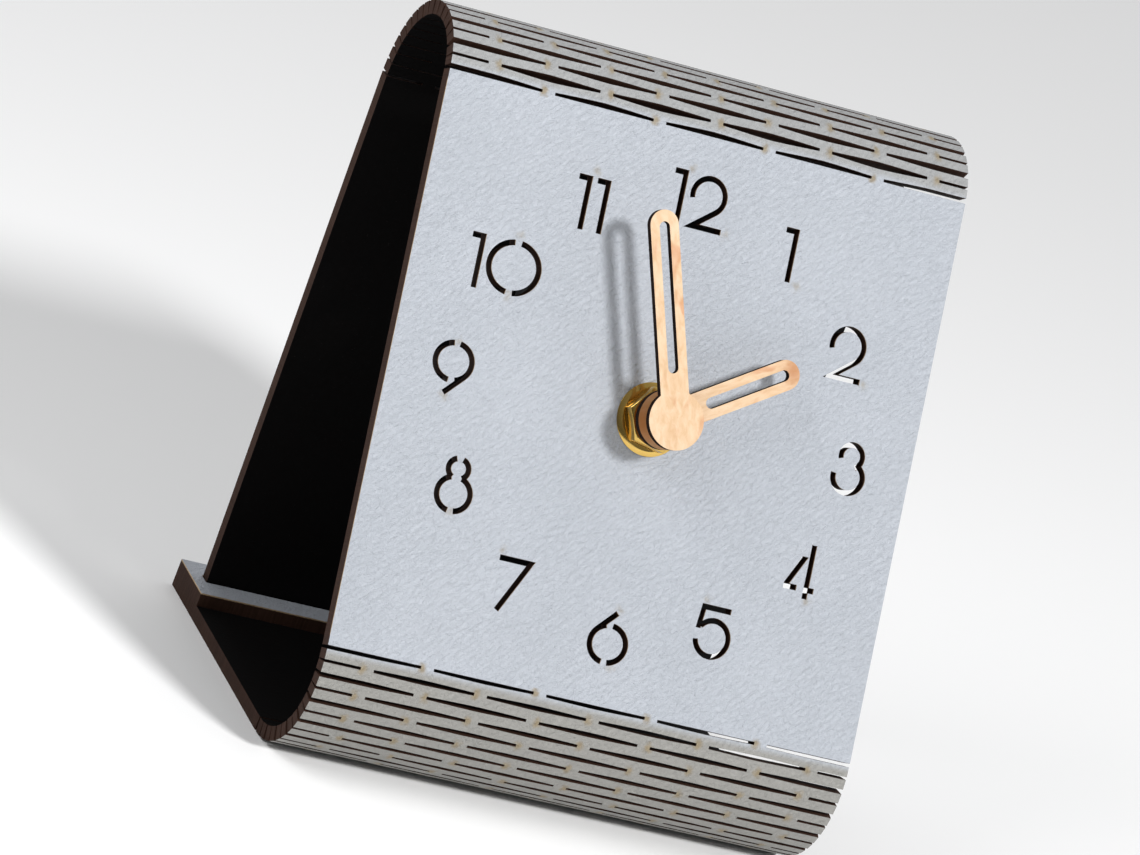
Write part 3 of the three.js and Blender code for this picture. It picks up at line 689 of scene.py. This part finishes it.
BLACK_PLASTIC = moulded("black_plastic", (0.006, 0.006, 0.007, 1), (0.012, 0.012, 0.013, 1))
BAY = block(-INSIDE, -INSIDE, INSIDE, BAY_TOP)
ROOM = block(-INSIDE, BAY_TOP + CASE_WALL, INSIDE, INSIDE)
CASE_OUTLINE = rounded_block(CASE_HALF, -CASE_HALF, CASE_HALF, CASE_CORNER)

front_case = soften(stamp("front", CASE_OUTLINE, CASE_SPLIT + GAP, CASE_FRONT), CASE_ROUNDING)
combine(front_case, [
    stamp("room", ROOM, CASE_SPLIT - PAST, CASE_FRONT - CASE_WALL),
    stamp("bay", BAY, CASE_SPLIT - PAST, BAY_FRONT),
    disc(BUSHING_HOLE_R, CASE_FRONT - 3, CASE_FRONT + PAST),
])
in_front_wall = CASE_FRONT - 1
posts = [disc(POST_R, POST_END, in_front_wall, at) for at in POSTS_AT]
motion_pin = disc(PIN_R, PIN_END, in_front_wall, MOTION_AT)
combine(front_case, posts + [motion_pin], "UNION")
install(on_dial(front_case), "housing", "movement_front_case", [BLACK_PLASTIC])

rear_case = soften(stamp("rear", CASE_OUTLINE, CASE_BACK, CASE_SPLIT), CASE_ROUNDING)
rib_outlines = [block(x - RIB / 2, RIBS_LOW, x + RIB / 2, RIBS_HIGH) for x in range(-20, 21, 4)]
ribs = [stamp("rib", outline, RELIEF_TOP, RELIEF_ROOT) for outline in rib_outlines]
rim = turned("rim", [
    (1.5, RELIEF_ROOT), (6, RELIEF_ROOT), (5.9, RELIEF_TOP), (5.3, RELIEF_TOP), (5.2, CASE_BACK + 0.2),
    (1.5, CASE_BACK + 0.2),
], 48, KNOB_AT)
lip_half = CASE_HALF - LIP_INSET
lip_outline = rounded_block(lip_half, -lip_half, lip_half, CASE_CORNER - LIP_INSET)
lip = stamp("lip", lip_outline, CASE_SPLIT - 0.1, CASE_SPLIT + GAP)
combine(rear_case, ribs + [rim, lip], "UNION")
notch = rounded_block(7, BAY_TOP - 1, BAY_TOP + 3.4, 1.2)
combine(rear_case, [
    stamp("room", ROOM, CASE_BACK + CASE_WALL, CASE_SPLIT + PAST),
    stamp("bay", BAY, CASE_BACK - PAST, CASE_SPLIT + PAST),
    stamp("finger_notch", notch, CASE_BACK - PAST, CASE_BACK + 0.9),
    disc(KNOB_HOLE_R, CASE_BACK - PAST, CASE_SPLIT, KNOB_AT),
])
cup = [
    (CUP_BORE_R, CUP_FLOOR), (CUP_BORE_R, CUP_END), (CUP_R, CUP_END), (CUP_R, CUP_ROOT), (0, CUP_ROOT),
    (0, CUP_FLOOR),
]
pivots = [SHAFT_AT, MIDDLE_AT, THIRD_AT, ROTOR_AT]
combine(rear_case, [turned("cup", cup, 24, at) for at in pivots], "UNION")
install(on_dial(rear_case), "housing", "movement_rear_case", [BLACK_PLASTIC])


# The works inside the case: a plate that carries the pivots, the train of
# pale moulded wheels, and the circuit with its crystal, coil, stator and rotor.
def dress(material, *nodes):
    """Gives carried-over nodes a finish."""
    for node in nodes:
        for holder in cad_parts[node].material_slots:
            holder.material = material


def metal(name, dark, light, roughness, scratches=0.00001):
    """Bare metal with faint clouding and fine scratches."""
    material, place = finish(name)
    cloud = place.noise(170, 3)
    scratch = place.stretched(1, 14, 1).noise(900, 2, 0.6)
    rough = (cloud * 0.6 + scratch * 0.4).spread(0.25, 0.75, *roughness)
    values = {"Base Color": cloud.blend(dark, light), "Metallic": 1.0, "Roughness": rough}
    shade(place, values, scratch, scratches)
    return material


PALE_PLASTIC = moulded("pale_plastic", (0.62, 0.6, 0.55, 1), (0.7, 0.68, 0.63, 1))
STEEL = metal("steel", (0.5, 0.5, 0.51, 1), (0.62, 0.62, 0.62, 1), (0.22, 0.38))
COPPER = metal("copper", (0.45, 0.16, 0.06, 1), (0.62, 0.26, 0.11, 1), (0.3, 0.42), 0.00004)
MAGNET = metal("magnet", (0.07, 0.07, 0.075, 1), (0.12, 0.12, 0.125, 1), (0.45, 0.6), 0.00003)


def circuit_mask():
    material, place = finish("circuit_green")
    track = place.stretched(1, 0.35, 1).noise(420, 1).spread(0.52, 0.56)
    colour = track.blend((0.012, 0.075, 0.035, 1), (0.025, 0.13, 0.06, 1))
    shade(place, {"Base Color": colour, "Roughness": 0.3, "Coat Weight": 0.4}, track, 0.00003)
    return material


dress(PALE_PLASTIC, "gear_plate", "intermediate_wheel", "seconds_wheel", "third_wheel", "minute_wheel",
      "cannon_pinion", "motion_wheel", "hour_wheel")
dress(STEEL, "quartz_crystal", "motor_stator")
dress(COPPER, "motor_coil")
dress(MAGNET, "motor_rotor")
dress(circuit_mask(), "circuit_board")

# The cell lies across the bay, between a dimpled steel contact and a sprung
# one. It is a steel can in a plain sleeve, with the raised button at its right.
CELL_R = 7.1
CELL_END = 25.0
SLEEVE_HOLE_R = 5.9
BAY_MIDDLE = (0, (BAY_TOP - INSIDE) / 2, -13.2)
ACROSS = shift(*BAY_MIDDLE) @ Matrix.Rotation(pi / 2, 4, "Y")


def cell_sleeve():
    material, place = finish("battery_sleeve")
    along = place.part(0) / MM
    band = along.spread(9.9, 10.1)
    tint = place.noise(90, 2).blend((0.03, 0.045, 0.06, 1), (0.045, 0.06, 0.08, 1))
    colour = band.blend(tint, (0.42, 0.43, 0.44, 1))
    shade(place, {"Base Color": colour, "Roughness": 0.3, "Metallic": band * 0.8, "Coat Weight": 0.5},
          place.noise(250, 2), 0.00002)
    return material


cell = turned("cell", [
    (0, -CELL_END), (4.6, -CELL_END), (4.9, -24.7), (5.6, -24.7), (6.0, -24.95), (6.7, -24.9),
    (CELL_R, -24.5), (CELL_R, 23.1), (6.8, 23.5), (6.0, 23.55), (5.7, 23.2), (3.2, 23.2), (2.9, 23.4),
    (2.75, 24.7), (2.45, CELL_END), (0, CELL_END),
], 72)
for polygon in cell.data.polygons:
    middle = polygon.center
    polygon.material_index = int(hypot(middle.x, middle.y) < SLEEVE_HOLE_R)
cell.data.transform(ACROSS)
install(on_dial(cell), "housing", "battery", [cell_sleeve(), STEEL])

# The contacts stand on the bay's end walls.
CONTACT = 0.4
plate_x = INSIDE - CONTACT
contact = stamp("contact", rounded_block(4.5, -5.5, 5.5, 0.8), -CONTACT / 2, CONTACT / 2)
dimple = turned("dimple", [(0, -0.1), (2.6, -0.1), (2.2, 0.45), (1.2, 0.7), (0, 0.75)], 32)
positive = combine(moved_copy(contact, Matrix()), [dimple], "UNION")
positive.data.transform(shift(plate_x, *BAY_MIDDLE[1:]) @ Matrix.Rotation(-pi / 2, 4, "Y"))
install(on_dial(positive), "housing", "contact_positive", [STEEL])


POINTS_A_TURN = 28


def coil_spring(wire, turns, outer, inner, low, high):
    """A flattened cone of wire, wound as a curve and made a mesh."""
    curve = bpy.data.curves.new("spring", "CURVE")
    curve.dimensions = "3D"
    curve.bevel_depth = wire
    curve.bevel_resolution = 4
    curve.use_fill_caps = True
    steps = int(turns * POINTS_A_TURN)
    spline = curve.splines.new("POLY")
    spline.points.add(steps)
    for i, point in enumerate(spline.points):
        share = i / steps
        x, y = polar(outer + (inner - outer) * share, 360 * turns * share)
        point.co = x, y, low + (high - low) * share, 1
    spring = bpy.data.objects.new("spring", curve)
    bpy.context.scene.collection.objects.link(spring)
    only(spring)
    bpy.ops.object.convert(target="MESH")
    return bpy.context.object


spring = coil_spring(wire=0.22, turns=2.6, outer=4.3, inner=1.4, low=0.35, high=0.85)
negative = join([contact, spring])
negative.data.transform(shift(-plate_x, *BAY_MIDDLE[1:]) @ Matrix.Rotation(pi / 2, 4, "Y"))
install(on_dial(negative), "housing", "contact_negative", [STEEL])


# The setting knob stands out behind the case. Its rim is fluted for the
# finger, and its shaft and pinion turn the motion wheel.
def merged_copy(node):
    """A copy of a carried-over node, welded, in millimetres about the shaft."""
    twin = moved_copy(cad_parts[node], (Matrix.Scale(MM, 4) @ DIAL_FRAME).inverted())
    only(twin)
    bpy.ops.object.mode_set(mode="EDIT")
    bpy.ops.mesh.select_all(action="SELECT")
    bpy.ops.mesh.remove_doubles(threshold=WELD)
    bpy.ops.object.mode_set(mode="OBJECT")
    return twin


FLUTES = 24
FLUTE_DEPTH = 0.5
GRIP_R = 5.0


def grip_point(angle):
    return polar(GRIP_R - FLUTE_DEPTH / 2 * (1 - cos(FLUTES * radians(angle))), angle, KNOB_AT)


grip = soften(stamp("grip", [grip_point(angle) for angle in range(0, 360, 3)], -24.2, -21.4), 0.25, 2, 60)
dish = turned("dish", [(0, -25), (3.4, -25), (3.4, -24.0), (3.0, -23.8), (0, -23.8)], 40, KNOB_AT)
knob = combine(combine(merged_copy("setting_knob"), [grip], "UNION"), [dish])
install(on_dial(knob), "knob_group", "setting_knob", [PALE_PLASTIC])


# A rubber gasket lies between the case and the board, and the brass bushing
# passes through both. Its thread takes the washer and the nut from the front.
def rubber():
    material, place = finish("rubber")
    colour = place.noise(500, 3).blend((0.01, 0.01, 0.01, 1), (0.022, 0.021, 0.02, 1))
    shade(place, {"Base Color": colour, "Roughness": 0.85}, place.noise(1500, 3), 0.00004)
    return material


gasket = turned("gasket", [
    (4.2, -4.45), (10.8, -4.45), (11, -4.3), (11, -3.6), (10.8, -3.45), (4.2, -3.45),
], 72)
install(on_dial(gasket), "housing", "rubber_gasket", [rubber()])

BRASS = metal("brass", (0.5, 0.31, 0.065, 1), (0.74, 0.51, 0.16, 1), (0.08, 0.17), 0.000006)
THREAD_PITCH = 0.75
THREAD_R = 3.85
GROOVE_R = 3.5
BORE_R = 2.7
RIDGES = 6
thread = [(THREAD_R, 5.35), (3.6, 5.6)]
for ridge in range(RIDGES):
    groove = 5.0 - ridge * THREAD_PITCH
    thread = [(THREAD_R, groove - THREAD_PITCH / 2), (GROOVE_R, groove)] + thread
bushing = turned("bushing", [
    (BORE_R, -7.4), (6.1, -7.4), (6.3, -7.2), (6.3, -6.6), (6.1, -6.4), (THREAD_R, -6.4), (THREAD_R, 0.3),
] + thread + [(2.9, 5.6), (BORE_R, 5.4)], 72)
install(on_dial(bushing), "housing", "threaded_bushing", [BRASS])

washer = turned("washer", [
    (4.2, 0.25), (7.85, 0.25), (8, 0.33), (7.98, 0.42), (7.86, 0.5), (6.95, 0.8), (6.75, 0.85), (4.35, 0.85),
    (4.2, 0.7),
], 96)
install(on_dial(washer), "housing", "dial_washer", [BRASS])

ACROSS_FLATS = 12.4
NUT_LOW = 1.1
NUT_HIGH = 5.1
NUT_TURN = 50
NUT_BORE_R = 4.15
NUT_MOUTH_R = 4.6
CHAMFER = 0.6
nut_corner = ACROSS_FLATS / 2 / cos(pi / 6)
nut = stamp("nut", [polar(nut_corner, NUT_TURN + 60 * i) for i in range(6)], NUT_LOW, NUT_HIGH)
face_r = ACROSS_FLATS / 2 - 0.1
round_r = nut_corner + 0.1
chamfer = turned("chamfer", [
    (0, NUT_LOW), (face_r, NUT_LOW), (round_r, NUT_LOW + CHAMFER), (round_r, NUT_HIGH - CHAMFER),
    (face_r, NUT_HIGH), (0, NUT_HIGH),
], 96)
combine(nut, [chamfer], "INTERSECT")
bore = turned("bore", [
    (0, 0), (NUT_MOUTH_R, 0), (NUT_MOUTH_R, NUT_LOW), (NUT_BORE_R, NUT_LOW + 0.5),
    (NUT_BORE_R, NUT_HIGH - 0.5), (NUT_MOUTH_R, NUT_HIGH), (NUT_MOUTH_R, 6), (0, 6),
], 64)
combine(nut, [bore])
soften(nut, 0.12, 2, 30)
install(on_dial(nut), "housing", "dial_nut", [BRASS])

# The hands are cut from thin maple by the same laser, and their edges are
# charred. A brass collar and a brass cap press them on the pipes of the works.
HAND_BOARD = 1.6
HAND_WIDTH = 6.6
HAND_SLOT = 2.4
SLOT_START = 10
SLOT_MARGIN = 2.5
HUB_R = 6.4
HOUR_LENGTH = 33.1
MINUTE_LENGTH = 44.8
HOUR_LEVEL = 6.5
MINUTE_LEVEL = 11.9
SCORCH_AND_SHADE_LEVEL = 8
HOUR_HOLE_R = 3.35
MINUTES_PAST_TWELVE = 117.2
HOUR_TURN = MINUTES_PAST_TWELVE / 720 * 2 * pi
MINUTE_TURN = MINUTES_PAST_TWELVE / 60 * 2 * pi


def hand(name, length, level, hub_hole):
    """A round hub and a straight, round-ended arm with its slot, pointing to twelve."""
    half = HAND_WIDTH / 2
    through = level - 1, level + 3
    shoulder = asin(half / HUB_R) * 180 / pi
    outline = arc(0, 0, HUB_R, 90 + shoulder, 450 - shoulder, 5) + arc(0, length - half, half, 0, 180, 9)
    made = stamp(name, outline, level, level + HAND_BOARD)
    slot_end = arc(0, length - SLOT_MARGIN - HAND_SLOT / 2, HAND_SLOT / 2, 0, 180, 12)
    slot_start = arc(0, SLOT_START + HAND_SLOT / 2, HAND_SLOT / 2, 180, 360, 12)
    cutters = [stamp("slot", slot_end + slot_start, *through)]
    if hub_hole:
        cutters.append(disc(hub_hole, *through, steps=48))
    combine(made, cutters)
    for polygon in made.data.polygons:
        polygon.material_index = int(abs(polygon.normal.z) < FLAT_FACE)
    return made


def maple(name, angle, scorch_and_shade_spots):
    """Pale maple veneer: the grain runs along the hand, the laser has browned some places, and some brown
    spots are painted shade.
    """
    material, place = finish(name)
    along = place.node("Mapping", {"vector_type": "TEXTURE"}, {"Vector": place, "Rotation": (0, angle, 0)})
    grain = along.stretched(7, 7, 1).noise(120, 4, 0.6, 0.4)
    cloud = along.stretched(2.5, 2.5, 1).noise(55, 2, 0.5, 1.5)
    pores = along.stretched(10, 10, 1).noise(450, 2).spread(0.62, 0.75)
    base = (grain * 0.7 + cloud * 0.3).spread(0.35, 0.7).blend((0.66, 0.465, 0.29, 1), (0.57, 0.36, 0.19, 1))
    streak = cloud.spread(0.56, 0.68) * 0.6 + pores * 0.3
    colour = streak.blend(base, (0.5, 0.2, 0.07, 1))
    for point, radius in scorch_and_shade_spots:
        # Spots browned by the laser and spots of painted shade darken the wood the same way.
        near = (place.off(point) / MM + place.noise(600) * 3 - 1.5).spread(0, radius, 0.9, 0)
        colour = near.blend(colour, (0.4, 0.15, 0.035, 1))
    shade(place, {"Base Color": colour, "Roughness": grain.spread(0.3, 0.7, 0.48, 0.62)}, grain, 0.00004)
    return material


def hand_char():
    material, place = finish("hand_char")
    streak = place.noise(2400)
    colour = streak.blend((0.004, 0.0025, 0.002, 1), (0.022, 0.011, 0.008, 1))
    shade(place, {"Base Color": colour, "Roughness": 0.85, "Specular IOR Level": 0.08}, streak, 0.00005)
    return material


def at_hand(reach, clockwise):
    """A place among the hands, so far from the shaft, in metres on the clock."""
    point = DIAL_FRAME @ Vector((sin(clockwise) * reach, cos(clockwise) * reach, SCORCH_AND_SHADE_LEVEL))
    return tuple(point * MM)


CHAR = hand_char()

collar = turned("collar", [
    (2.7, 5.75), (4.25, 5.75), (4.4, 5.9), (4.4, 6.1), (4.25, 6.25), (3.1, 6.25), (3.1, 7.9), (3.0, 8.0),
    (2.7, 8.0),
], 64)
install(on_dial(collar), "hour_group", "hour_hand_bush", [BRASS])
hour = hand("hour", HOUR_LENGTH, HOUR_LEVEL, HOUR_HOLE_R)
# Near the tip the hour hand is scorched. The broad brown patch at the hub is painted shade, cast by the
# minute hand's hub.
hour_scorch_and_shade = [(at_hand(HOUR_LENGTH - 1, HOUR_TURN), 5), (at_hand(HUB_R, HOUR_TURN + 3.4), 12)]
hour_maple = maple("hour_maple", HOUR_TURN, hour_scorch_and_shade)
install(on_dial(hour, HOUR_TURN), "hour_group", "hour_hand", [hour_maple, CHAR])

cap = turned("cap", [
    (0, 11.25), (1.8, 11.25), (1.8, 9.4), (2.3, 9.4), (2.4, 9.5), (2.4, 10.8), (3.85, 10.8), (4, 10.95),
    (4, 11.5), (3.85, 11.65), (0, 11.65),
], 64)
install(on_dial(cap), "minute_group", "minute_hand_bush", [BRASS])
minute = hand("minute", MINUTE_LENGTH, MINUTE_LEVEL, 0)
# The small brown spot at the edge of the minute hand's hub is painted shade, where the hub meets the hour
# hand.
minute_maple = maple("minute_maple", MINUTE_TURN, [(at_hand(7.5, MINUTE_TURN + 1.95), 1.2)])
install(on_dial(minute, MINUTE_TURN), "minute_group", "minute_hand", [minute_maple, CHAR])

# A pale floor and sky, the sky dimmer to the left and towards the camera. A
# soft lamp high in front on the right throws the shadows down and to the left,
# and a weak one fills from the left.
deselect()
bpy.ops.mesh.primitive_plane_add(size=8)
floor = bpy.context.object
floor.name = "floor"
pale, place = finish("pale_floor")
white = place.noise(3, 1).blend((0.95, 0.95, 0.95, 1), (0.97, 0.97, 0.97, 1))
shade(place, {"Base Color": white, "Roughness": 0.9})
floor.data.materials.append(pale)

world = bpy.data.worlds.new("surround")
bpy.context.scene.world = world
world.use_nodes = True
surround = Socket(world.node_tree).node("TexCoord", output="Generated")
sky = surround.part(2).spread(-0.1, 0.9).blend((0.42, 0.44, 0.48, 1), (1, 1, 1, 1))
side = surround.part(0).spread(-0.9, 0.5, 0.4, 1) * surround.part(1).spread(-0.4, 0.5, 0.45, 1)
background = world.node_tree.nodes["Background"]
world.node_tree.links.new(side.blend((0, 0, 0, 1), sky).output, background.inputs["Color"])
background.inputs["Strength"].default_value = 0.9

AIM = Vector((0, 0, 0.08))
LAMPS = [
    ("key", 0.34, 40, (0.62, -1.62, 1.37)),
    ("fill", 0.35, 1.3, (-0.42, -0.12, 0.45)),
]
for name, size, power, location in LAMPS:
    lamp_data = bpy.data.lights.new(name, "AREA")
    lamp_data.shape = "DISK"
    lamp_data.size = size
    lamp_data.energy = power
    lamp = bpy.data.objects.new(name, lamp_data)
    lamp.location = location
    lamp.rotation_euler = (AIM - lamp.location).to_track_quat("-Z", "Y").to_euler()
    bpy.context.scene.collection.objects.link(lamp)

bpy.context.scene.view_settings.view_transform = "Standard"
